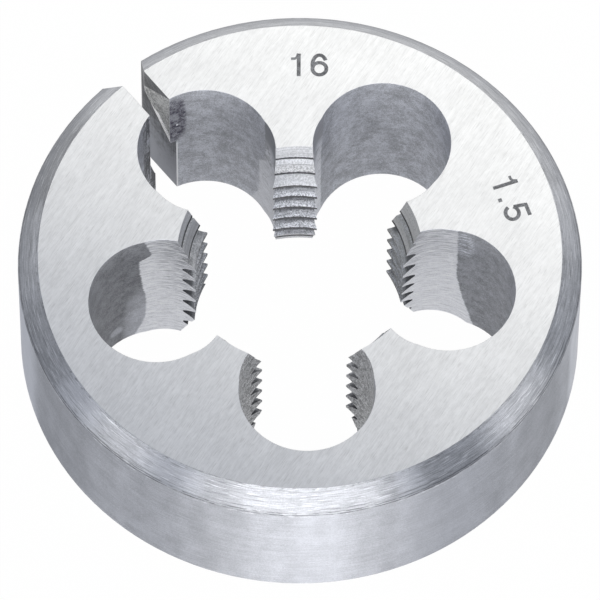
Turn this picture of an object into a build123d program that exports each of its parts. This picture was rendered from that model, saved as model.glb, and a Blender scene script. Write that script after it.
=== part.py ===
"""Round split threading die for M16 x 1.5 right-hand thread, one piece of hardened steel.

The die lies on its back face, with +Z along the thread axis towards its front face, and +Y through the
middle of the chip hole that the split opens. The origin is on the thread axis, in the back face.
"""
import os
from math import cos, radians, sin, tan

from build123d import *

os.makedirs("parts", exist_ok=True)

# Blank
outer_radius = 38.1 / 2
thickness = 12.9
rim_chamfer = 1.35

# Thread: the teeth are as deep as the groove that they cut into the bolt
pitch = 1.5
major_radius = 16.0 / 2
flank_angle = 30.0
tooth_depth = 0.6134 * pitch
groove_root_width = pitch / 8
groove_height = 1.03

# Leads: a slender cone at each mouth of the bore cuts down the first teeth
front_mouth_radius = 8.3
back_mouth_radius = 8.2
lead_angle = 22.0

# Chip holes
chip_hole_count = 5
chip_hole_radius = 4.585
chip_circle_radius = 10.31
split_bearing = 90.0

# Ground flanks on both sides of each land, from a smaller grinding wheel moved towards the land
wheel_radius = 3.7
wheel_shift = 1.1
wheel_bearing = 132.0

# One flank where the wheel leaned over in its lower half
leaning_hole_number = 3
lean_start_height = 6.5
lean_foot_shift = 1.87
lean_foot_bearing = 137.0

# Split: one pass of a thin wheel from each face, not quite in line with each other
split_width = 1.8
front_pass_offset = -0.4
back_pass_offset = 0.1
pass_slope = 52.0
wall_radius = 14.9
front_pass_floor = 3.9
back_pass_ceiling = 6.7
split_start = 12.0

# The wheel of the front pass had a worn left edge, which left the floor higher on that side
worn_width = 0.45
worn_rise = 1.7

# Notch at the mouth of the split, for the point of the spreading screw
notch_half_angle = 30.0
notch_start = 16.05

# Seats in the rim for the two closing screws, one on each side of the split
seat_spread = 45.0
seat_radius = 2.0

# How far cutters run past the surfaces that they open
overrun = 1.0

flank_slope = tan(radians(flank_angle))
minor_radius = major_radius - tooth_depth
front_lead = (front_mouth_radius - minor_radius) / tan(radians(lead_angle))
back_lead = (back_mouth_radius - minor_radius) / tan(radians(lead_angle))
chip_hole_step = 360 / chip_hole_count
rim_reach = outer_radius + overrun


def offset_at(distance, bearing):
    """The point at a distance and a bearing in degrees."""
    return (distance * cos(radians(bearing)), distance * sin(radians(bearing)))


# One cutter for the thread, a stretch of groove that spans a land and ends in the chip holes beside it
groove_span = 50.0
groove_mouth = minor_radius - 0.15
groove_half_root = groove_root_width / 2
groove_half_mouth = groove_half_root + (major_radius - groove_mouth) * flank_slope

with BuildPart() as thread_groove:
    with BuildLine() as groove_path:
        Helix(pitch=pitch, height=pitch * groove_span / 360, radius=minor_radius)
    with BuildSketch(Plane.XZ):
        with BuildLine():
            Polyline(
                (major_radius, -groove_half_root),
                (major_radius, groove_half_root),
                (groove_mouth, groove_half_mouth),
                (groove_mouth, -groove_half_mouth),
                close=True,
            )
        make_face()
    sweep(path=groove_path.wire(), is_frenet=True)

# The places of all grooves follow the screw motion of the thread
groove_places = []
for land in range(chip_hole_count):
    bearing = split_bearing + (land + 0.5) * chip_hole_step - groove_span / 2
    first_height = (groove_height + pitch * bearing / 360) % pitch - pitch
    for turn in range(int(thickness / pitch) + 3):
        groove_places.append(Location((0, 0, first_height + turn * pitch), (0, 0, bearing)))

with BuildPart() as threading_die:
    # Turned ring with chamfered rims and a bore that widens towards both faces
    with BuildSketch(Plane.XZ):
        with BuildLine():
            Polyline(
                (minor_radius, back_lead),
                (back_mouth_radius, 0),
                (outer_radius - rim_chamfer, 0),
                (outer_radius, rim_chamfer),
                (outer_radius, thickness - rim_chamfer),
                (outer_radius - rim_chamfer, thickness),
                (front_mouth_radius, thickness),
                (minor_radius, thickness - front_lead),
                close=True,
            )
        make_face()
    revolve(axis=Axis.Z)

    # Chip holes, which leave five lands between them
    with PolarLocations(chip_circle_radius, chip_hole_count, start_angle=split_bearing):
        Hole(chip_hole_radius)

    # Ground flanks of the lands
    wheel_x, wheel_y = offset_at(wheel_shift, wheel_bearing)
    with PolarLocations(chip_circle_radius, chip_hole_count, start_angle=split_bearing):
        with Locations((wheel_x, wheel_y), (wheel_x, -wheel_y)):
            Hole(wheel_radius)

    # The flank that was ground with the wheel leaning
    leaning_bearing = split_bearing + leaning_hole_number * chip_hole_step
    leaning_hole = Plane(
        origin=(*offset_at(chip_circle_radius, leaning_bearing), 0),
        x_dir=(*offset_at(1, leaning_bearing), 0),
        z_dir=(0, 0, 1),
    )
    lean_foot = leaning_hole.from_local_coords(Vector(*offset_at(lean_foot_shift, lean_foot_bearing), 0))
    lean_start = leaning_hole.from_local_coords(Vector(wheel_x, wheel_y, lean_start_height))
    with BuildSketch(Plane(origin=lean_foot, z_dir=lean_start - lean_foot)):
        Circle(wheel_radius)
    extrude(amount=thickness, both=True, mode=Mode.SUBTRACT)

    # Thread teeth, left standing between the grooves
    with Locations(*groove_places):
        add(thread_groove.part, mode=Mode.SUBTRACT)

    # Split: the pass from the front face slopes down towards the rim, the pass from the back slopes up
    pass_gradient = tan(radians(pass_slope))
    inner_rise = (wall_radius - split_start) * pass_gradient
    outer_rise = (rim_reach - wall_radius) * pass_gradient
    front_pass_left = front_pass_offset - split_width / 2
    front_pass_right = front_pass_offset + split_width / 2
    for section_offset, floor in (
        (front_pass_left, front_pass_floor + worn_rise),
        (front_pass_left + worn_width, front_pass_floor),
        (front_pass_right, front_pass_floor),
    ):
        with BuildSketch(Plane.YZ.offset(section_offset)):
            with BuildLine():
                Polyline(
                    (split_start, floor + inner_rise),
                    (rim_reach, floor - outer_rise),
                    (rim_reach, thickness + overrun),
                    (split_start, thickness + overrun),
                    close=True,
                )
            make_face()
    loft(ruled=True, mode=Mode.SUBTRACT)
    with BuildSketch(Plane.YZ.offset(back_pass_offset)):
        with BuildLine():
            Polyline(
                (split_start, back_pass_ceiling - inner_rise),
                (rim_reach, back_pass_ceiling + outer_rise),
                (rim_reach, -overrun),
                (split_start, -overrun),
                close=True,
            )
        make_face()
    extrude(amount=split_width / 2, both=True, mode=Mode.SUBTRACT)

    # Notch at the mouth of the split
    notch_half_width = (rim_reach - notch_start) * tan(radians(notch_half_angle))
    with BuildSketch():
        with BuildLine():
            Polyline(
                (front_pass_offset, notch_start),
                (front_pass_offset - notch_half_width, rim_reach),
                (front_pass_offset + notch_half_width, rim_reach),
                close=True,
            )
        make_face()
    extrude(amount=thickness, mode=Mode.SUBTRACT)

    # Seats for the closing screws, right-angled cones half way up the rim
    seat_planes = []
    for seat_bearing in (split_bearing - seat_spread, split_bearing + seat_spread):
        seat_point = (*offset_at(outer_radius - seat_radius, seat_bearing), thickness / 2)
        seat_planes.append(Plane(origin=seat_point, z_dir=(*offset_at(1, seat_bearing), 0)))
    seat_depth = seat_radius + overrun
    with Locations(*seat_planes):
        Cone(0, seat_depth, seat_depth, align=(Align.CENTER, Align.CENTER, Align.MIN), mode=Mode.SUBTRACT)

threading_die.part.label = "threading_die"
export_step(threading_die.part, "parts/threading_die.step")
print("solids", len(threading_die.part.solids()))
print("volume", round(threading_die.part.volume, 1), "mm3")
print("minor radius", round(minor_radius, 4), "mm")
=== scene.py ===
# %% [markdown]
# # A round threading die, seen on a white table
# The die is one piece of hardened steel: a turned ring with a ground rim, five chip holes, five lands that
# carry the thread teeth, and a narrow split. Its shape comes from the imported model, to the hundredth of a
# millimetre. This script gives that shape broken edges, and each surface the finish that its own machine
# left on it: a wheel on the flat faces, a lathe tool on the chamfers, a furnace in the holes.

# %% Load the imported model
import math

import bmesh
import bpy
from mathutils import Euler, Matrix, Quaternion, Vector


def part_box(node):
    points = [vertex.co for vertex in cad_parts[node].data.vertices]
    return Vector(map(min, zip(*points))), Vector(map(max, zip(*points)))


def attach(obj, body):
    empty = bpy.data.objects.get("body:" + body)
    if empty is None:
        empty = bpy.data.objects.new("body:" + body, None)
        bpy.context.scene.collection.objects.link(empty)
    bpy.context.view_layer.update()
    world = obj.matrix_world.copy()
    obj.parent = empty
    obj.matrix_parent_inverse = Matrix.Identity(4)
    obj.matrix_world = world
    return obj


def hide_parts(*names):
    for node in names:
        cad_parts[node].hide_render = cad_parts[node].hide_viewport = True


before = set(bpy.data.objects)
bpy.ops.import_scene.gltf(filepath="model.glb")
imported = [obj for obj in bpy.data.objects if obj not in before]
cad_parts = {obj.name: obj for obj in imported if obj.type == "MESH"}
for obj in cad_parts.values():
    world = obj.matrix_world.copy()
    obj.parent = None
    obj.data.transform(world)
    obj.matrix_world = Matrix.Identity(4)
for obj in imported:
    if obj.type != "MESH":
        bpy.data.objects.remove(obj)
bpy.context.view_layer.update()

# %% [markdown]
# ## The sizes that the finishes need
# A finish has to know where the rim, the chamfer, a hole or the split is. The overall sizes are read from
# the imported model. The others are the die's own driving dimensions, in millimetres as on its drawing.

# %% Name the sizes
mm = 0.001
high_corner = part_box("threading_die")[1]
thickness = high_corner.z / mm
rim_radius = high_corner.x / mm
rim_chamfer = 1.35
mouth_radius = 8.3
major_radius = 8.0
pitch = 1.5
groove_height = 1.03
groove_root_width = pitch / 8
flank_angle = math.radians(30)
lead_angle = math.radians(22)
chip_hole_radius = 4.585
chip_circle_radius = 10.31
chip_hole_count = 5
chip_hole_step = math.tau / chip_hole_count
split_bearing = math.radians(90)
split_wall_radius = 14.9
split_reach = 12.0
print("rim radius", round(rim_radius, 3), "mm and thickness", round(thickness, 3), "mm")

# %% [markdown]
# ## The camera
# The picture looks down on the die at about 62 degrees through a long lens, from the side opposite the "16".
# A long lens far away keeps the circles as even ellipses. Aimed at the middle of the die, it needs a shift of
# only a pixel, and less than half a degree of roll.

# %% Place the camera
camera_bearing = math.radians(231.01)
camera_height = math.radians(62.13)
camera_distance = 718 * mm
camera_roll = math.radians(0.37)
sensor_width = 36
lens_length = 633.7
picture_width = 600
pixels_left = 0.33
pixels_up = 1.05
nearest_seen = 0.05
farthest_seen = 20


def toward(bearing, height):
    """The direction at a bearing round the die and a height above the table."""
    flat = math.cos(height)
    return Vector((flat * math.cos(bearing), flat * math.sin(bearing), math.sin(height)))


die_middle = Vector((0, 0, thickness / 2 * mm))
line_of_sight = toward(camera_bearing, camera_height)
camera = bpy.data.objects.new("camera", bpy.data.cameras.new("camera"))
bpy.context.scene.collection.objects.link(camera)
bpy.context.scene.camera = camera
camera.data.sensor_width = sensor_width
camera.data.lens = lens_length
camera.data.shift_x = pixels_left / picture_width
camera.data.shift_y = -pixels_up / picture_width
camera.data.clip_start = nearest_seen
camera.data.clip_end = farthest_seen
camera.location = die_middle + line_of_sight * camera_distance
camera.rotation_mode = "QUATERNION"
camera.rotation_quaternion = line_of_sight.to_track_quat("Z", "Y") @ Quaternion((0, 0, 1), camera_roll)
print("the camera stands at", [round(value, 3) for value in camera.location])

# %% [markdown]
# ## Expressions for shader maths
# A finish is mostly arithmetic on places: how far from the axis, how deep, at which angle round a hole. A
# small class stands for one output of a node and overloads the operators, so that an expression such as
# `1 - mask` adds its Math nodes by itself. Every other node comes from one method of the node tree.


# %% A signal: one output of a node, with arithmetic
class Signal:
    """One output in a node tree. Operators on it add Math nodes."""

    def __init__(self, nodes, socket):
        self.nodes = nodes
        self.socket = socket

    def math(self, operation, *values):
        return self.nodes.node("Math", {"operation": operation}, dict(enumerate(values)))

    def __add__(self, other):
        return self.math("ADD", self, other)

    def __radd__(self, other):
        return self.math("ADD", other, self)

    def __sub__(self, other):
        return self.math("SUBTRACT", self, other)

    def __rsub__(self, other):
        return self.math("SUBTRACT", other, self)

    def __mul__(self, other):
        return self.math("MULTIPLY", self, other)

    def __rmul__(self, other):
        return self.math("MULTIPLY", other, self)

    def __truediv__(self, other):
        return self.math("DIVIDE", self, other)

    def __rtruediv__(self, other):
        return self.math("DIVIDE", other, self)

    def __abs__(self):
        return self.math("ABSOLUTE", self)

    def __pow__(self, other):
        return self.math("POWER", self, other)

    def least(self, other):
        return self.math("MINIMUM", self, other)

    def most(self, other):
        return self.math("MAXIMUM", self, other)

    def ramp(self, start, end):
        """0 below start and 1 above end, with a soft step between them. It falls if end is below start."""
        settings = {"interpolation_type": "SMOOTHSTEP"}
        if end > start:
            limits = {"From Min": start, "From Max": end, "To Min": 0, "To Max": 1}
        else:
            limits = {"From Min": end, "From Max": start, "To Min": 1, "To Max": 0}
        return self.nodes.node("MapRange", settings, {"Value": self, **limits})


# %% A node tree and the method that adds its nodes
class Nodes:
    """A node tree that is built node by node."""

    def __init__(self, tree):
        self.tree = tree
        self.tree.nodes.clear()

    def node(self, kind, settings=None, sockets=None, output=0):
        """Adds one node: its settings first, then the values or links of its sockets."""
        made = self.tree.nodes.new("ShaderNode" + kind)
        for name, value in (settings or {}).items():
            setattr(made, name, value)
        for name, value in (sockets or {}).items():
            if isinstance(value, Signal):
                self.tree.links.new(value.socket, made.inputs[name])
            else:
                made.inputs[name].default_value = value
        return Signal(self, made.outputs[output])

    def close(self, kind, shader):
        """Adds the tree's last node, the output of the material or the world, behind the shader."""
        out = self.tree.nodes.new("ShaderNodeOutput" + kind)
        self.tree.links.new(shader.socket, out.inputs["Surface"])


# %% A finish: one material and the patterns that it is made of
class Finish(Nodes):
    """The node tree of one material."""

    def __init__(self, name):
        self.material = bpy.data.materials.new(name)
        self.material.use_nodes = True
        super().__init__(self.material.node_tree)

    def place(self):
        """The place on the piece in millimetres, as three signals."""
        coordinates = self.node("TexCoord", output="Object")
        parts = self.node("SeparateXYZ", sockets={0: coordinates}).socket.node.outputs
        return tuple(Signal(self, parts[axis]) / mm for axis in "XYZ")

    def noise(self, x, y, z, detail=2, roughness=0.55):
        """Smooth random values from 0 to 1, whose spots are about one unit wide."""
        place = self.node("CombineXYZ", sockets={0: x, 1: y, 2: z})
        sockets = {"Vector": place, "Scale": 1.0, "Detail": detail, "Roughness": roughness}
        return self.node("TexNoise", sockets=sockets)

    def marks(self, length, width, seed=0, detail=3):
        """Lines that run round the die's axis, about as long and as wide as given in millimetres."""
        x, y, z = self.place()
        return self.noise(x / length, y / length, z / width + seed, detail, 0.6)

    def grain(self, size, seed=0, detail=3):
        """Spots without a direction, about as large as given in millimetres."""
        x, y, z = self.place()
        return self.noise(x / size, y / size, z / size + seed, detail, 0.65)

    def blend(self, share, first, second):
        """A colour that goes from the first to the second with the share."""
        settings = {"data_type": "RGBA"}
        return self.node("Mix", settings, {0: share, 6: first, 7: second}, output=2)

    def bump(self, height, depth):
        """The surface's normal under a relief whose height from 0 to 1 stands for a depth in millimetres."""
        return self.node("Bump", sockets={"Height": height, "Distance": depth * mm, "Strength": 1.0})

    def show(self, shader):
        """Makes the shader the material's surface, and gives the finished material."""
        self.close("Material", shader)
        print("finish", self.material.name, "has", len(self.tree.nodes), "nodes")
        return self.material


# %% [markdown]
# ## The table
# The die lies on a white table that runs past every edge of the picture. A real white table would turn grey
# inside the holes, where little light gets in, while the picture shows plain white there. So the eye and the
# reflections see the table mostly as plain white, and only a trace of its shading is kept: enough for the
# soft shadow that ties the die to it.


# %% A piece from its shape
def add_piece(name, shape, materials):
    """Puts a bmesh into the scene as an object with its materials, and frees the bmesh."""
    mesh = bpy.data.meshes.new(name)
    shape.to_mesh(mesh)
    shape.free()
    for material in materials:
        mesh.materials.append(material)
    made = bpy.data.objects.new(name, mesh)
    bpy.context.scene.collection.objects.link(made)
    print(name, "has", len(mesh.polygons), "faces")
    return made


# %% Lay the table
table_size = 4.0
table_white = (0.92, 0.92, 0.92, 1)
white_to_the_eye = 0.99
white_in_reflections = 0.48

table_finish = Finish("white_table")
lit_table = table_finish.node("BsdfDiffuse", sockets={"Color": table_white})
plain_white = table_finish.node("Emission", sockets={"Color": (1, 1, 1, 1), "Strength": 1.0})
to_the_eye = table_finish.node("LightPath", output="Is Camera Ray") * white_to_the_eye
in_reflections = table_finish.node("LightPath", output="Is Glossy Ray") * white_in_reflections
whiteness = to_the_eye.most(in_reflections)
table_shader = table_finish.node("MixShader", sockets={0: whiteness, 1: lit_table, 2: plain_white})

table_shape = bmesh.new()
bmesh.ops.create_grid(table_shape, x_segments=1, y_segments=1, size=table_size / 2)
table = add_piece("table", table_shape, [table_finish.show(table_shader)])

# %% [markdown]
# ## The light
# Steel shows what stands round it. A large soft box hangs behind and above the die, so near that its upper
# edge fades across the flat face. Its foot is a dimmer box of its own, which keeps the face from glaring when
# it is seen from further down. Lower boxes stand in front and at both sides, and between them the rim and the
# chamfer see the dimmer room, which gives the dark and bright bands that run round them. The levels are
# plain ones: together they light a white sheet to about white.


# %% A soft box
def soft_box(name, bearing, height, distance, width, tall, level, turn=0, slide=0, colour=(1, 1, 1)):
    """A lamp at a bearing from the camera and a height, in degrees, turned and slid up in its own plane."""
    lamp = bpy.data.lights.new(name, "AREA")
    lamp.color = colour
    lamp.shape = "RECTANGLE"
    lamp.size = width
    lamp.size_y = tall
    lamp.energy = math.pi * width * tall * level
    box = bpy.data.objects.new(name, lamp)
    direction = toward(camera_bearing + math.radians(bearing), math.radians(height))
    box.rotation_mode = "QUATERNION"
    box.rotation_quaternion = direction.to_track_quat("Z", "Y") @ Quaternion((0, 0, 1), math.radians(turn))
    box.location = die_middle + direction * distance + box.rotation_quaternion @ Vector((0, slide, 0))
    bpy.context.scene.collection.objects.link(box)
    print(name, "at", bearing, "degrees from the camera shows", level)


# %% Hang the box behind the die, in two parts
warm_white = (1.03, 1.0, 0.89)
back_place = {"bearing": 180, "height": 62, "distance": 0.12, "width": 0.20, "turn": -27}
back_edge = 0.0076
back_tall = 0.06
foot_tall = 0.14
back_slide = back_edge - back_tall / 2
foot_slide = back_edge - back_tall - foot_tall / 2
soft_box("back_box", **back_place, tall=back_tall, level=0.97, slide=back_slide, colour=warm_white)
soft_box("back_box_foot", **back_place, tall=foot_tall, level=0.62, slide=foot_slide, colour=warm_white)

# %% Hang the other boxes
soft_box("front_box", bearing=-2, height=33, distance=0.45, width=0.46, tall=0.12, level=0.62)
soft_box("low_box", bearing=0, height=8, distance=0.45, width=0.50, tall=0.12, level=7.0)
soft_box("left_box", bearing=-59, height=21, distance=0.45, width=0.14, tall=0.16, level=1.35)
soft_box("right_box", bearing=76, height=16, distance=0.45, width=0.16, tall=0.16, level=1.35)
soft_box("high_box", bearing=0, height=62, distance=0.60, width=0.30, tall=0.30, level=1.5)

# %% Light the room, which the eye sees as plain white
room_level = 0.40
room_colour = (0.92, 0.98, 1.11, 1)

room = bpy.data.worlds.new("room")
bpy.context.scene.world = room
room.use_nodes = True
room_nodes = Nodes(room.node_tree)
seen_directly = room_nodes.node("LightPath", output="Is Camera Ray")
room_strength = room_level + (1 - room_level) * seen_directly
room_light = room_nodes.node("Background", sockets={"Color": room_colour, "Strength": room_strength})
room_nodes.close("World", room_light)
bpy.context.scene.view_settings.view_transform = "Standard"
print("the room shows", room_level)

# %% [markdown]
# ## What every steel surface shares
# Bare steel is a metal: it has no colour of its own beside the tint of its reflection. What tells one
# machined surface from the next is how its marks run. A noise that is squeezed across the marks and drawn
# out along them gives such lines, and the same lines feed the relief, the roughness and a little of the tint.


# %% The steel shader
def tint(value, blue=0.02):
    """A steel grey of the given value, a little blue."""
    return (value * (1 - blue / 4), value, value * (1 + blue), 1)


def steel(finish, colour, roughness, normal=None, metallic=1.0, anisotropic=0.0):
    """A steel surface. An anisotropic one was turned or ground round the die's axis."""
    sockets = {"Base Color": colour, "Metallic": metallic, "Roughness": roughness}
    if normal is not None:
        sockets["Normal"] = normal
    if anisotropic:
        sockets["Anisotropic"] = anisotropic
        sockets["Anisotropic Rotation"] = 0.25
    return finish.node("BsdfPrincipled", sockets=sockets)


# %% [markdown]
# ## The flat faces
# Both flat faces were ground on a surface grinder, whose marks are straight, fine and all parallel. The
# place is turned to the direction of the marks first. Two widths of line are added: hair lines, and the
# wider streaks that the wheel leaves where it cut a little deeper.

# %% Flat faces
grind_bearing = math.radians(19)


def ground_face():
    """A flat face with the parallel marks of a surface grinder."""
    finish = Finish("ground_face")
    x, y, z = finish.place()
    along = x * math.cos(grind_bearing) + y * math.sin(grind_bearing)
    across = y * math.cos(grind_bearing) - x * math.sin(grind_bearing)
    hairs = finish.noise(along / 0.8, across / 0.10, z, detail=3)
    streaks = finish.noise(along / 3, across / 0.30, z + 7)
    scratches = finish.noise(along / 0.9, across / 0.06, z + 3, detail=1).ramp(0.58, 0.72)
    grain = finish.grain(0.35)
    clouds = finish.grain(3.0)
    shade = 0.35 * hairs + 0.25 * streaks + 0.2 * grain + 0.2 * clouds
    colour = finish.blend(shade.ramp(0.32, 0.68), tint(0.71, 0.03), tint(0.88, 0.03))
    colour = finish.blend(scratches * 0.4, colour, tint(0.50))
    roughness = 0.26 + 0.10 * hairs
    normal = finish.bump(hairs * 0.6 + streaks * 0.2 + scratches * 0.2, 0.0055)
    return finish.show(steel(finish, colour, roughness, normal))


# %% [markdown]
# ## The rim and the chamfers
# The rim was ground while the die turned, and the chamfers were cut with a lathe tool, so their marks run
# round the axis. Lines that follow the circle without a seam come from a noise read at the point of the
# surface itself, squeezed along the rim's height, or along the chamfer's slope, and left slow round it.
# Soft lighter and darker patches at given bearings lie over the lines on both, as painted light and shade,
# and where the lathe tool chattered the chamfer is darker.


# %% Soft patches of painted light and shade on the rim and a chamfer
def beside(x, y, bearing, width):
    """1 near a bearing round the die and 0 beyond the width, both in degrees."""
    middle = toward(math.radians(bearing), 0)
    nearness = (x * middle.x + y * middle.y) / (x * x + y * y) ** 0.5
    return nearness.ramp(math.cos(math.radians(width * 1.3)), math.cos(math.radians(width * 0.6)))


def painted_patches(finish, colour, x, y, places):
    """The colour with soft patches of painted light and shade, each with its bearing, width, share and grey.
    """
    for bearing, width, share, grey in places:
        colour = finish.blend(beside(x, y, bearing, width) * share, colour, tint(grey, 0.05))
    return colour


# %% Rim
# Each patch of painted light and shade: bearing and width in degrees, share, grey
rim_light_and_shade = (
    # Dark patches: painted shade
    (290, 8, 0.24, 0.20),
    (215, 6, 0.17, 0.20),
    (174, 9, 0.12, 0.20),
    (247, 4, 0.10, 0.20),
    # Light patches: painted highlights; those at 152 and 310 degrees are painted reflections near the rim's
    # outline
    (262, 9, 0.24, 0.85),
    (235, 5, 0.14, 0.85),
    (152, 9, 0.50, 0.90),
    (310, 5, 0.42, 0.90),
)


def ground_rim():
    """The rim, ground round the axis, with nicks along its edge with the front chamfer."""
    finish = Finish("ground_rim")
    x, y, z = finish.place()
    hairs = finish.marks(2.0, 0.06)
    lines = finish.marks(5.0, 0.20, seed=3)
    clouds = finish.noise(x / 1.6, y / 1.6, z / 2.5, detail=3)
    grain = finish.grain(0.10, detail=2)
    shade = 0.3 * hairs + 0.1 * lines + 0.25 * clouds + 0.35 * grain
    colour = finish.blend(shade.ramp(0.37, 0.63), tint(0.43, 0.05), tint(0.63, 0.05))
    colour = painted_patches(finish, colour, x, y, rim_light_and_shade)
    to_edge = thickness - rim_chamfer - z
    nicks = finish.marks(0.8, 0.14, seed=9, detail=2)
    dark_nicks = (nicks + to_edge.ramp(0.10, 0.02) * 0.12).ramp(0.48, 0.58) * to_edge.ramp(0.18, 0.06)
    bright_nicks = nicks.ramp(0.56, 0.64) * to_edge.ramp(0.36, 0.28) * to_edge.ramp(0.12, 0.18)
    colour = finish.blend(dark_nicks * 0.75, colour, tint(0.14, 0.05))
    colour = finish.blend(bright_nicks * 0.7, colour, tint(0.95))
    normal = finish.bump(0.6 * hairs + 0.4 * grain, 0.0025)
    return finish.show(steel(finish, colour, 0.60, normal, anisotropic=0.9))


# %% The place on a chamfer and its marks
# The length along a slope of 45 degrees, for each millimetre of radius, and of radius less height
slope_by_radius = 1.414
slope_by_both = 0.7071


class ChamferMarks:
    """Signals for a chamfer. Distances along it are in millimetres of its slope."""

    def __init__(self, finish):
        self.x, self.y, z = finish.place()
        radius = (self.x * self.x + self.y * self.y) ** 0.5
        self.slope = (radius - abs(z - thickness / 2)) * slope_by_both
        self.to_face = (radius - rim_radius + rim_chamfer) * slope_by_radius
        self.to_rim = (rim_radius - radius) * slope_by_radius
        self.hairs = self.lines_along(finish, 1.3, 0.07, roughness=0.6)
        self.lines = self.lines_along(finish, 4, 0.14, seed=9, roughness=0.6)
        self.clouds = self.lines_along(finish, 2.2, 0.8, seed=3)
        self.grain = finish.grain(0.10, seed=3, detail=2)

    def lines_along(self, finish, length, width, seed=0, detail=2, roughness=0.55):
        """Lines that run round the chamfer, about as long and as wide as given."""
        return finish.noise(self.x / length, self.y / length, self.slope / width + seed, detail, roughness)


# %% Chatter and patches of painted light and shade on a chamfer
# Each place: bearing and width in degrees, strength. Each patch of painted light and shade: bearing, width,
# share, grey
chatter_places = ((120, 12, 1), (135, 6, 0.5), (161, 9, 1), (247, 6, 0.9), (264, 7, 0.85), (292, 10, 0.8))
chamfer_light_and_shade = (
    # Dark patches: painted shade
    (117, 12, 0.42, 0.18),
    (215, 4, 0.22, 0.18),
    (287, 5, 0.20, 0.18),
    (191, 4, 0.10, 0.18),
    # Light patches: painted highlights
    (203, 7, 0.38, 0.85),
    (178, 6, 0.42, 0.85),
    (255, 3, 0.30, 0.85),
    (331, 8, 0.16, 0.85),
)


def chatter(marks):
    """How strongly the tool chattered, from 0 to 1."""
    share = 0
    for bearing, width, strength in chatter_places:
        share = (beside(marks.x, marks.y, bearing, width) * strength).most(share)
    return share * (0.35 + 0.65 * (0.6 * marks.hairs + 0.4 * marks.clouds).ramp(0.60, 0.42))


# %% Scratches and flecks on a chamfer
def scratched(finish, marks, colour):
    """The colour with dark and bright scratches, and dark flecks along the flat face."""
    dark = marks.lines_along(finish, 1.6, 0.05, seed=40, detail=1).ramp(0.60, 0.70)
    bright = marks.lines_along(finish, 1.3, 0.05, seed=80, detail=1).ramp(0.62, 0.70)
    flecks = marks.lines_along(finish, 0.35, 0.10, seed=20).ramp(0.56, 0.64) * marks.to_face.ramp(0.28, 0.10)
    colour = finish.blend(dark * 0.50, colour, tint(0.16, 0.05))
    colour = finish.blend(bright * 0.55, colour, tint(1.0, 0.02))
    return finish.blend(flecks * 0.5, colour, tint(0.16, 0.05))


# %% The score beside the rim
def score(finish, marks):
    """A broken dark line where the tool left the chamfer, and a fainter one beside it."""
    waver = finish.noise(marks.x / 0.7, marks.y / 0.7, 5.0, detail=3)
    to_score = marks.to_rim + (waver - 0.5) * 0.16
    first = abs(to_score - 0.13).ramp(0.07, 0.01) * (0.5 * waver + 0.5 * marks.clouds).ramp(0.40, 0.56)
    second = abs(to_score - 0.36).ramp(0.06, 0.02) * marks.clouds.ramp(0.48, 0.62)
    return first.most(second * 0.7)


# %% Chamfers
far_bearing = 51
far_reach = 95


def turned_chamfer():
    """A turned chamfer, darker towards the rim, with patches of painted light and shade, and painted shade on
    its outer half on the far side.
    """
    finish = Finish("turned_chamfer")
    marks = ChamferMarks(finish)
    shade = 0.38 * marks.hairs + 0.22 * marks.lines + 0.27 * marks.grain + 0.13 * marks.clouds
    colour = finish.blend(shade.ramp(0.36, 0.64), tint(0.39, 0.04), tint(0.65, 0.04))
    colour = finish.blend(chatter(marks) * 0.28, colour, tint(0.18, 0.05))
    colour = painted_patches(finish, colour, marks.x, marks.y, chamfer_light_and_shade)
    colour = scratched(finish, marks, colour)
    # Painted shade: a blue dark grey over the outer half of the chamfer on the far side
    far_side_shade = beside(marks.x, marks.y, far_bearing, far_reach)
    outer_half = (marks.to_rim + (marks.lines - 0.5) * 1.5).ramp(1.3, 0.4)
    colour = finish.blend(far_side_shade * outer_half * 0.27, colour, tint(0.22, 0.18))
    colour = finish.blend(marks.to_rim.ramp(0.60, 0.05) * 0.18, colour, tint(0.22, 0.05))
    colour = finish.blend(score(finish, marks) * 0.65, colour, tint(0.10, 0.05))
    normal = finish.bump(0.45 * marks.hairs + 0.28 * marks.lines + 0.27 * marks.grain, 0.012)
    return finish.show(steel(finish, colour, 0.32, normal, anisotropic=0.5))


# %% [markdown]
# ## The holes
# The chip holes were drilled and then hardened in a furnace, which left a dull blue grey with a fine grain.
# Beside each land a small grinding wheel then cut the walls back to bright metal. It was led by hand, so the
# bright patch has another outline in every hole. One finish does both: a mask says where the wheel cut. It is
# written in the hole's own terms, the angle round the hole and the depth below the front face.

# %% The chip holes by number, counted from the split, and named as the picture shows them
split_hole = 0
left_hole = 1
front_hole = 2
right_hole = 3
upper_hole = 4
print("chip holes", chip_hole_count, "of radius", chip_hole_radius, "mm")


# %% Places in a hole
def hole_place(finish):
    """The number of the nearest chip hole, the angle round it in degrees and the depth in millimetres."""
    x, y, z = finish.place()
    bearing = y.math("ARCTAN2", y, x) - split_bearing
    turn = bearing.math("ROUND", bearing / chip_hole_step)
    number = turn.math("FLOORED_MODULO", turn, chip_hole_count)
    folded = bearing - turn * chip_hole_step
    radius = (x * x + y * y) ** 0.5
    out = radius * folded.math("COSINE", folded) - chip_circle_radius
    side = radius * folded.math("SINE", folded)
    angle = side.math("ARCTAN2", side, out) * math.degrees(1)
    return number, angle, thickness - z


def only(number, hole):
    """1 at one hole and 0 at the others."""
    return number.math("COMPARE", number, hole, 0.5)


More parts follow.
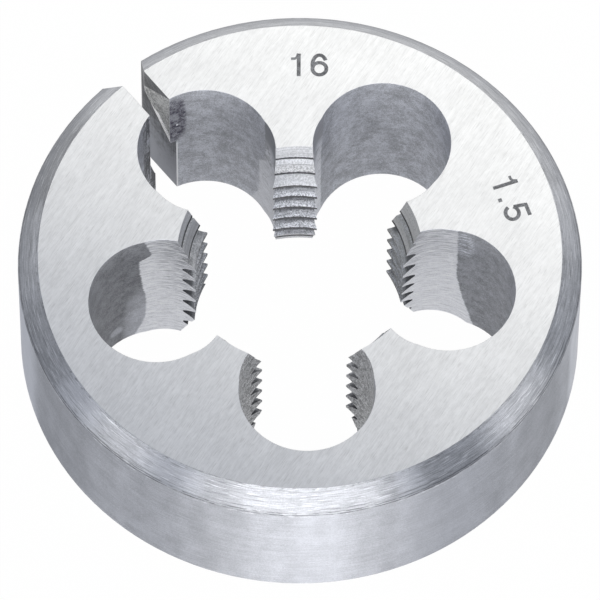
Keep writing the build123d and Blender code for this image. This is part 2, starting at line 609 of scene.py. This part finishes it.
# %% Marks on the walls
class WallMarks:
    """Signals for the wall of a chip hole: which hole, the place on its wall, and its patterns."""

    def __init__(self, finish):
        self.number, self.angle, self.depth = hole_place(finish)
        self.in_split = only(self.number, split_hole)
        self.in_left = only(self.number, left_hole)
        self.in_front = only(self.number, front_hole)
        self.in_right = only(self.number, right_hole)
        self.in_upper = only(self.number, upper_hole)
        arc = self.angle * math.radians(chip_hole_radius)
        self.grain = finish.grain(0.08, detail=2)
        self.spots = finish.grain(0.30, seed=8, detail=3)
        self.clouds = finish.grain(1.1, seed=4, detail=3)
        self.hairs = finish.noise(arc / 1.1, self.depth / 0.11, self.number * 7, detail=3, roughness=0.65)
        self.upright = finish.noise(arc / 0.16, self.depth / 2.5, self.number * 5, detail=3)

    def spot(self, at_angle, at_depth, width, height, softness):
        """1 inside an oval spot, placed and sized in degrees round the hole and in millimetres of depth."""
        away = ((abs(self.angle) - at_angle) / width) ** 2 + ((self.depth - at_depth) / height) ** 2
        return away.ramp(1 + softness / 2, 1 - softness / 2)


# %% Where the small wheel cut
# The angle round a hole, in degrees, from which its wall was cut
wheel_start = 98


def wheel_patch(finish, wall):
    """1 where a chip hole's wall was ground beside the lands, and 0 where the furnace left it dark."""
    depth = wall.depth
    left = depth.ramp(3.5, 8.5) * 5 - 3 + depth.ramp(2.7, 1.9) * (5.5 + 3 * depth)
    left = left - (depth - 10.6).most(0) * 4.5
    split = depth.ramp(6.6, 5.2) * 9 - 6 - ((depth - 9.8).most(0) / 2.4) ** 2 * 7
    right = -2 - ((depth - 6).most(0) / 6.6) ** 1.5 * 15
    upper = (depth * 1.2).least(6) - 4
    shift = wall.in_left * left + wall.in_split * split + wall.in_right * right + wall.in_upper * upper
    clouds = finish.grain(1.6, seed=4, detail=2)
    ragged = finish.marks(0.9, 0.16, seed=2)
    inside = abs(wall.angle) - wheel_start - shift + (clouds - 0.5) * 3 + (ragged - 0.5) * 4
    return inside.ramp(-1.0, 1.0)


# %% The bright metal that the wheel left
def wheel_tone(finish, wall):
    """Hair lines on bright metal, darker towards the front face in some holes: shaded in the side holes,
    mottled darker in the split and upper holes, and darker all over in the split hole.
    """
    depth = wall.depth
    shade = 0.60 * wall.hairs + 0.15 * wall.spots + 0.25 * wall.grain
    tone = finish.blend(shade.ramp(0.36, 0.60), tint(0.64, 0.05), tint(1.0, 0.05))
    shaded = abs(wall.angle).ramp(106, 130) * depth.ramp(10, 5) * 0.5 + depth.ramp(4.0, 1.5) * 0.35
    shaded = wall.in_left * shaded + wall.in_right * depth.ramp(5.5, 2) * 0.35
    tone = finish.blend(shaded * wall.hairs.ramp(0.60, 0.36) * 1.5, tone, tint(0.36, 0.10))
    darkened_near_face = (0.6 * wall.clouds + 0.4 * wall.spots + depth / 60).ramp(0.60, 0.46)
    darkened_near_face = darkened_near_face.most(depth.ramp(3.6, 2.0) * 1.2) * wall.in_split.most(wall.in_upper)
    tone = finish.blend(darkened_near_face * 0.55 + wall.in_split * 0.25, tone, tint(0.26, 0.08))
    speckle = (0.6 * wall.grain + 0.4 * wall.spots).ramp(0.42, 0.58)
    front_tone = finish.blend(speckle, tint(0.18, 0.04), tint(0.78, 0.02))
    return finish.blend(wall.in_front, tone, front_tone)


# %% The dark metal that the furnace left
def burnish(wall):
    """How much a few places of the dark walls were rubbed bright again."""
    upper = wall.in_upper * wall.angle.ramp(0, 2) * wall.spot(71, 4.0, 12, 4.0, 1.4) * (0.3 + wall.upright)
    left = (wall.spot(98, 11.6, 17, 4.6, 1.7) * 1.9).most(wall.spot(72, 11.2, 7, 0.50, 1.2) * 1.6)
    left = wall.in_left * left
    right = wall.in_right * wall.spot(89, 1.8, 8, 1.6, 1.4) * wall.hairs.ramp(0.48, 0.56) * 2.6
    return upper.most(left).most(right)


def furnace_tone(finish, wall):
    """A dull blue grey, with painted shade that darkens the left, right and front holes, and streaked beside
    the split.
    """
    shade = 0.40 * wall.grain + 0.2 * wall.spots + 0.3 * wall.clouds + 0.1 * wall.hairs
    # Painted shade: the walls of the left, right and front holes are darker than the others
    level = 0.56 - 0.24 * wall.in_left - 0.13 * wall.in_right - 0.10 * wall.in_front
    crescent = wall.in_split * wall.angle.ramp(0, 2)
    streak = (wall.angle + (wall.clouds - 0.5) * 9).ramp(31, 25)
    streak = crescent * streak * (0.6 * wall.upright + 0.4 * wall.spots).ramp(0.60, 0.46)
    level = level - crescent * 0.05 - streak * 0.38
    level = level * (0.64 + 0.72 * shade.ramp(0.38, 0.62)) + 0.16 * burnish(wall)
    return finish.node("CombineColor", sockets={0: level * 0.98, 1: level, 2: level * 1.07})


# %% The stain beside the split, with painted highlights
stain_colour = (0.050, 0.042, 0.078, 1)


def stained(finish, wall, colour):
    """The colour with a dark stain beside the split, a painted glint in it, and a painted edge highlight
    below it.
    """
    right_of_split = wall.in_split * wall.angle.ramp(0, -1)
    blots = (0.5 * wall.spots + 0.3 * wall.clouds + 0.2 * wall.grain).ramp(0.60, 0.40)
    stain = wall.spot(8, 3.5, 13, 2.9, 1.5).most(wall.spot(16, 3.3, 6, 2.6, 1.2))
    colour = finish.blend(right_of_split * stain * (0.42 + 0.56 * blots), colour, stain_colour)
    # Painted highlights: a thin bright line along the edge of the split, and a tiny glint in the stain
    edge_highlight = abs(wall.angle + 13.2).ramp(0.9, 0.4) * wall.depth.ramp(6.3, 6.8)
    bright = wall.spot(13.5, 4.1, 0.9, 0.13, 0.6).most(edge_highlight)
    return finish.blend(right_of_split * bright, colour, tint(1.0))


# %% Hole walls
def hole_wall():
    """The wall of a chip hole, furnace dark or cut bright by the small wheel."""
    finish = Finish("hole_wall")
    wall = WallMarks(finish)
    ground = wheel_patch(finish, wall)
    colour = finish.blend(ground, furnace_tone(finish, wall), wheel_tone(finish, wall))
    colour = stained(finish, wall, colour)
    bright = ground * (wall.in_left + wall.in_right)
    roughness = 0.50 - 0.08 * ground - 0.14 * bright
    metallic = 0.75 + 0.25 * bright
    normal = finish.bump(wall.grain * 0.5 + wall.hairs * 0.3 + wall.spots * 0.2, 0.012)
    return finish.show(steel(finish, colour, roughness, normal, metallic=metallic))


# %% [markdown]
# ## The thread
# The teeth were tapped before hardening. Their undersides, crests and groove bottoms, and the gaps at the
# ends of the lands, are painted dark as shade. The upper flanks keep a light tone on the land that faces the
# lights, and are painted darker on the others, as shade. A thread is a screw motion, so one number tells
# where a point lies between two turns: its height, less the height that the helix has reached at that
# bearing, counted in pitches. That number is 0 in the middle of a groove and one half on a crest. The cones
# that lead in were turned, and show fine circles.

# %% Two lands that differ, by their bearing round the die in degrees
# The land that faces the lights keeps its light tone; the flanks of the others get painted shade
lit_land = 54
clean_land = 342
land_reach = 20
print("the land at", lit_land, "degrees is rubbed bright and the one at", clean_land, "has a clean tone")


# %% The place between two turns
def thread_phase(x, y, z):
    """0 in the middle of a groove, rising through a tooth's underside to 0.5 on its crest, and on to 1."""
    turns = y.math("ARCTAN2", y, x) / math.tau
    height = (z - groove_height) / pitch - turns
    return height.math("FRACT", height)


def groove_edge(radius):
    """The phase at which the groove's wall reaches a radius, on the underside of a tooth."""
    return ((major_radius - radius) * math.tan(flank_angle) + groove_root_width / 2) / pitch


def land_end(x, y):
    """0 in the middle of a land and 1 near both of its ends."""
    turns = (y.math("ARCTAN2", y, x) - split_bearing) / chip_hole_step - 0.5
    return abs(turns - turns.math("ROUND", turns)).ramp(0.07, 0.12)


# %% Painted shade on the teeth
def tooth_shade(x, y, z, ragged, side_lands):
    """Painted shade on the teeth: undersides, crests, groove bottoms, and gaps at a land's ends."""
    phase = thread_phase(x, y, z)
    depth = thickness - z
    underside = phase.ramp(0.04, 0.08) * (phase + ragged * 0.05).ramp(0.42, 0.38)
    crest = (phase + ragged * 0.05).ramp(0.38, 0.42) * (phase + ragged * 0.10).ramp(0.58, 0.555)
    crest_top = crest * (phase + ragged * 0.2).ramp(0.46, 0.50)
    root = (phase + ragged * 0.10).ramp(0.745, 0.765) * depth.ramp(3.0, 4.5) * 0.6
    root = root.most((phase + ragged * 1.4).ramp(0.70, 0.80) * depth.ramp(2.5, 6.0) * 0.9)
    gap = (phase + ragged * 0.12).ramp(0.62, 0.74) * land_end(x, y) * depth.ramp(2.0, 3.5)
    gap = gap * side_lands * z.ramp(0.9, 1.3)
    return (underside * 0.8).most(crest * 0.75).most(crest_top * 0.90).most(root * 0.90).most(gap * 0.72)


# %% Thread teeth
def cut_thread():
    """The flanks of the teeth, lighter near the front face and duller below, with painted shade on their dark
    parts and on the lands beside the lit one.
    """
    finish = Finish("cut_thread")
    x, y, z = finish.place()
    grain = finish.grain(0.11, detail=3)
    spots = finish.grain(0.22, seed=3, detail=2)
    lines = finish.marks(1.2, 0.08)
    shade = 0.65 * grain + 0.1 * spots + 0.25 * lines
    light = finish.blend(shade.ramp(0.40, 0.60), tint(0.56, 0.02), tint(0.86, 0.02))
    dull = finish.blend(shade.ramp(0.42, 0.58), tint(0.32, 0.06), tint(1.0, 0.04))
    colour = finish.blend((thickness - z).ramp(3.2, 4.2), light, dull)
    # Painted shade: the flanks of the lands beside the lit one are darker
    side_lands = 1 - beside(x, y, lit_land, land_reach)
    side_shade_tone = finish.blend(beside(x, y, clean_land, land_reach), tint(0.26, 0.05), tint(0.42, -0.12))
    colour = finish.blend(side_lands * (0.34 + 0.36 * shade.ramp(0.60, 0.40)), colour, side_shade_tone)
    # Painted shade on the undersides, crests, roots and gaps at the lands' ends
    dark = tooth_shade(x, y, z, 0.75 * grain + 0.25 * spots - 0.5, side_lands)
    colour = finish.blend(dark, colour, tint(0.045, 0.12))
    normal = finish.bump(grain * 0.7 + lines * 0.3, 0.012)
    return finish.show(steel(finish, colour, 0.42, normal))


# %% Cones that lead into the thread
def lead_cone():
    """A turned cone with fine circles, specks, and painted shade along the edge of the first groove."""
    finish = Finish("lead_cone")
    x, y, z = finish.place()
    radius = (x * x + y * y) ** 0.5
    grain = finish.grain(0.11, detail=3)
    lines = finish.marks(1.8, 0.07)
    rings = finish.marks(5.0, 0.26, seed=6, detail=1)
    shade = 0.35 * lines + 0.25 * rings + 0.40 * grain
    colour = finish.blend(shade.ramp(0.36, 0.64), tint(0.50, 0.03), tint(0.82, 0.03))
    on_lit_land = beside(x, y, lit_land, land_reach)
    lower_tone = finish.blend((0.3 * lines + 0.7 * grain).ramp(0.42, 0.58), tint(0.60, 0.02), tint(1.0, 0.02))
    colour = finish.blend((thickness - z).ramp(1.2, 1.9) * on_lit_land, colour, lower_tone)
    colour = finish.blend(beside(x, y, clean_land, land_reach) * 0.45, colour, tint(1.0, -0.06))
    specks = (0.8 * grain + 0.2 * lines).ramp(0.52, 0.62) * (1 - on_lit_land)
    colour = finish.blend(specks * 0.35, colour, tint(0.12, 0.05))
    past_edge = thread_phase(x, y, z) - groove_edge(radius)
    # Painted shade: a dark line along the edge of the first groove, below the cone
    edge_shade = (past_edge + (grain - 0.5) * 0.10).ramp(0.14, 0.08) * past_edge.ramp(-0.02, 0)
    colour = finish.blend(edge_shade * 0.9, colour, tint(0.06, 0.08))
    normal = finish.bump(lines * 0.5 + rings * 0.2 + grain * 0.3, 0.015)
    return finish.show(steel(finish, colour, 0.60, normal))


# %% [markdown]
# ## The split
# The split was opened after hardening with a thin wheel, from both faces. On its right wall the first pass
# left a rough patch between two slanting lines, with a brushed strip above it under the lip. These facets
# have no shape of their own here, so their light and shade is painted: the brushed strip is painted dark, the
# rough patch light, and a narrow strip below it is a painted highlight.


# %% Walls of the split
def split_wall():
    """A wall of the split: brushed and painted dark under the lip, rough and painted light below it, then a
    painted highlight strip and a smooth foot.
    """
    finish = Finish("split_wall")
    x, y, z = finish.place()
    outward = y - split_wall_radius
    depth = thickness - z
    grain = finish.grain(0.09, detail=2)
    spots = finish.grain(0.30, seed=5, detail=3)
    clouds = finish.grain(1.3, seed=2)
    brushed = finish.noise(x, (outward + depth) / 0.10, (outward - depth) / 1.6, detail=3)
    upright = finish.noise(x, outward / 0.14, depth / 3, detail=3)

    under_lip = (depth - 0.69 * outward).ramp(0, 0.12)
    above_foot = 6.04 - 1.27 * outward - depth
    lip_shade = 0.7 * brushed + 0.3 * grain
    lip_tone = finish.blend(lip_shade.ramp(0.38, 0.62), tint(0.10, 0.02), tint(0.30, 0.02))
    rough_shade = 0.45 * grain + 0.35 * spots + 0.2 * clouds
    rough_tone = finish.blend(rough_shade.ramp(0.38, 0.58), tint(0.28, -0.02), tint(1.0, -0.02))
    smooth_shade = 0.2 * upright + 0.25 * spots + 0.3 * clouds + 0.25 * (depth - 4).ramp(0, 8)
    smooth_tone = finish.blend(smooth_shade.ramp(0.36, 0.60), tint(0.11, 0.06), tint(0.46, 0.08))
    # A painted highlight: a bright strip above the foot, also glossier and fully metallic
    highlight_strip = above_foot.ramp(1.05, 0.85) * (depth + (spots - 0.5) * 1.2).ramp(3.3, 3.8)
    highlight_strip = highlight_strip * above_foot.ramp(0, 0.1)
    # Painted shade under the lip and painted light on the rough patch below it, over their real brushed and
    # rough marks
    colour = finish.blend(under_lip, lip_tone, rough_tone)
    colour = finish.blend(highlight_strip, colour, tint(1.0, 0))
    colour = finish.blend(above_foot.ramp(0.10, 0), colour, smooth_tone)
    normal = finish.bump(grain * 0.6 + brushed * 0.4, 0.015)
    roughness = 0.48 - 0.30 * highlight_strip
    metallic = 0.55 + 0.45 * highlight_strip
    return finish.show(steel(finish, colour, roughness, normal, metallic=metallic))


# %% [markdown]
# ## The screw seats
# Two cones in the rim take the closing screws. A drill point cut them, so they show fine rings round their
# own axis. That axis points at the middle of the die, so the distance from the middle counts the rings.


# %% Screw seats
def drilled_seat():
    """A drilled cone with fine rings."""
    finish = Finish("drilled_seat")
    x, y, z = finish.place()
    inward = (x * x + y * y) ** 0.5
    rings = finish.noise(inward / 0.09, x / 4, y / 4, detail=2)
    grain = finish.grain(0.12, detail=2)
    shade = 0.65 * rings + 0.35 * grain
    colour = finish.blend(shade.ramp(0.36, 0.64), tint(0.30, 0.04), tint(0.62, 0.04))
    normal = finish.bump(0.7 * rings + 0.3 * grain, 0.008)
    return finish.show(steel(finish, colour, 0.42, normal))


# %% [markdown]
# ## The die itself
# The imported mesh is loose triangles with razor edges. A merged copy of it stands in for it: coplanar
# triangles are dissolved, each face gets the finish of its surface, and the long edges are broken by a
# narrow bevel, as a real die's are after tumbling, so that they catch the light.

# %% Make the finishes
finishes = {
    "ground_face": ground_face(),
    "ground_rim": ground_rim(),
    "turned_chamfer": turned_chamfer(),
    "hole_wall": hole_wall(),
    "cut_thread": cut_thread(),
    "lead_cone": lead_cone(),
    "split_wall": split_wall(),
    "drilled_seat": drilled_seat(),
}
finish_order = list(finishes)

# %% Tell which surface a face belongs to
# How deep the seats and the split cut into the rim, where the seats begin, and how far the split's walls lie
rim_cuts_depth = 3
seats_apart = 6
split_side = 3.5


def surface_of(face):
    """The name of the finish that a face of the die has, from where it lies and how it faces."""
    place = face.calc_center_median() / mm
    normal = face.normal
    radius = math.hypot(place.x, place.y)
    around = (place.x * normal.y - place.y * normal.x) / max(radius, 1e-9)
    if abs(normal.z) > 0.999 and abs(place.z - thickness / 2) > thickness / 2 - 0.01:
        return "ground_face"
    if radius > rim_radius - 0.03 and abs(normal.z) < 0.01:
        return "ground_rim"
    if radius > rim_radius - rim_chamfer - 0.05 and 0.6 < abs(normal.z) < 0.8:
        return "turned_chamfer"
    if radius < mouth_radius + 0.02 and abs(around) < 0.35:
        if abs(abs(normal.z) - math.sin(lead_angle)) < 0.04:
            return "lead_cone"
        return "cut_thread"
    if radius > rim_radius - rim_cuts_depth:
        return "drilled_seat" if abs(place.x) > seats_apart else "split_wall"
    if place.y > split_reach and abs(place.x) < split_side and abs(normal.x) > 0.9:
        return "split_wall"
    return "hole_wall"


# %% Merge the loose triangles and sort them by finish
die_shape = bmesh.new()
die_shape.from_mesh(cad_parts["threading_die"].data)
bmesh.ops.remove_doubles(die_shape, verts=die_shape.verts, dist=0.0001 * mm)
for face in die_shape.faces:
    face.material_index = finish_order.index(surface_of(face))
    face.smooth = True
bmesh.ops.dissolve_limit(
    die_shape,
    angle_limit=math.radians(0.5),
    verts=die_shape.verts,
    edges=die_shape.edges,
    delimit={"MATERIAL"},
)
print("merged faces", len(die_shape.faces))

# %% Break the long edges
crease_angle = math.radians(18)
broken_edge = 0.04 * mm
broken_finishes = {"ground_face", "ground_rim", "turned_chamfer", "hole_wall", "split_wall", "drilled_seat"}

long_edges = []
for edge in die_shape.edges:
    beside_it = {finish_order[face.material_index] for face in edge.link_faces}
    if len(beside_it) == 2 and beside_it <= broken_finishes and edge.calc_face_angle(0) > crease_angle:
        long_edges.append(edge)
bmesh.ops.bevel(
    die_shape,
    geom=long_edges,
    offset=broken_edge,
    offset_type="OFFSET",
    segments=1,
    profile=0.5,
    affect="EDGES",
    material=-1,
    clamp_overlap=True,
)
for edge in die_shape.edges:
    edge.smooth = edge.calc_face_angle(0) < crease_angle
print("broken edges", len(long_edges))

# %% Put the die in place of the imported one
counts = {name: 0 for name in finish_order}
for face in die_shape.faces:
    counts[finish_order[face.material_index]] += 1
print("faces by finish", counts)

die_body = add_piece("die_body", die_shape, finishes.values())
if "custom_normal" in die_body.data.attributes:
    die_body.data.attributes.remove(die_body.data.attributes["custom_normal"])
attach(die_body, "root")
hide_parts("threading_die")

# %% [markdown]
# ## The size numerals
# A die carries its thread's diameter and pitch as plain dark numerals on the front face, burnt in flat by a
# laser that follows their centre lines. They are made the same way here: each numeral is a few centre lines,
# and a strip of grid faces is bent along each line. The strips lie a few thousandths of a millimetre above
# the face, and above each other, so that no two surfaces fight.


# %% The burnt finish
def burnt_mark():
    """Dull dark steel, a little patchy."""
    finish = Finish("burnt_mark")
    shade = 0.5 * finish.grain(0.10) + 0.5 * finish.grain(0.45)
    colour = finish.blend(shade.ramp(0.38, 0.62), tint(0.12, 0.03), tint(0.33, 0.03))
    return finish.show(steel(finish, colour, 0.7, metallic=0.2))


# %% Centre lines of the numerals
def arc(centre, reach, start, end, steps=24):
    """Points along an ellipse round a centre, from a start to an end angle in degrees."""
    points = []
    for step in range(steps + 1):
        angle = math.radians(start + (end - start) * step / steps)
        points.append((centre[0] + reach[0] * math.cos(angle), centre[1] + reach[1] * math.sin(angle)))
    return points


# Widths and centre lines in a box that is one unit high, with its middle at (0, 0)
broad = 0.15
slim = 0.11
numeral_lines = {
    "1": [
        (broad, [(0, -0.5), (0, 0.5)]),
        (slim, [(-0.30, 0.27), (-0.14, 0.28), (-0.06, 0.35), (-0.02, 0.5)]),
    ],
    "5": [
        (broad, [(0.29, 0.435), (-0.26, 0.435)]),
        (broad, [(-0.20, 0.435), (-0.26, -0.04)]),
        (broad, arc((-0.02, -0.18), (0.28, 0.255), 150, -165)),
    ],
    "6": [
        (broad, arc((0, -0.165), (0.27, 0.27), 0, 360)),
        (broad, arc((0, 0), (0.27, 0.435), 200, 28)),
    ],
    ".": [(broad, [(-0.08, -0.43), (0.08, -0.43)])],
}
print("numerals with centre lines:", ", ".join(numeral_lines))


# %% A strip along a centre line
def ribbon(shape, points, width, height):
    """Adds a flat strip of a width, bent along the points, at a height."""
    steps = len(points) - 1
    highlight_strip = bmesh.ops.create_grid(shape, x_segments=steps, y_segments=1, size=1)
    for vertex in highlight_strip["verts"]:
        place = round((vertex.co.x + 1) / 2 * steps)
        before = points[max(place - 1, 0)]
        after = points[min(place + 1, steps)]
        left = Vector((before[1] - after[1], after[0] - before[0], 0)).normalized() * width / 2
        vertex.co = Vector((*points[place], height)) + left * vertex.co.y


# %% Burnt numerals
numeral_height = 1.76 * mm
numeral_lift = 0.004 * mm
numeral_finish = burnt_mark()


def numerals(name, places, radius, bearing):
    """Numerals in a row with tops towards the rim, each at its own place along the row in millimetres."""
    shape = bmesh.new()
    for text, place in places:
        for line, (width, points) in enumerate(numeral_lines[text]):
            shifted = [(place * mm + x * numeral_height, y * numeral_height) for x, y in points]
            ribbon(shape, shifted, width * numeral_height, numeral_lift * (1 + 0.2 * line))
    turn = Euler((0, 0, bearing - math.pi / 2)).to_matrix().to_4x4()
    turn.translation = toward(bearing, 0) * radius + Vector((0, 0, thickness * mm))
    bmesh.ops.transform(shape, matrix=turn, verts=shape.verts)
    piece = add_piece(name, shape, [numeral_finish])
    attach(piece, "root")


numerals("diameter_numerals", [("1", -0.17), ("6", 1.24)], 14.62 * mm, math.radians(51))
numerals("pitch_numerals", [("1", -0.38), (".", 0.64), ("5", 1.86)], 14.90 * mm, math.radians(-19))
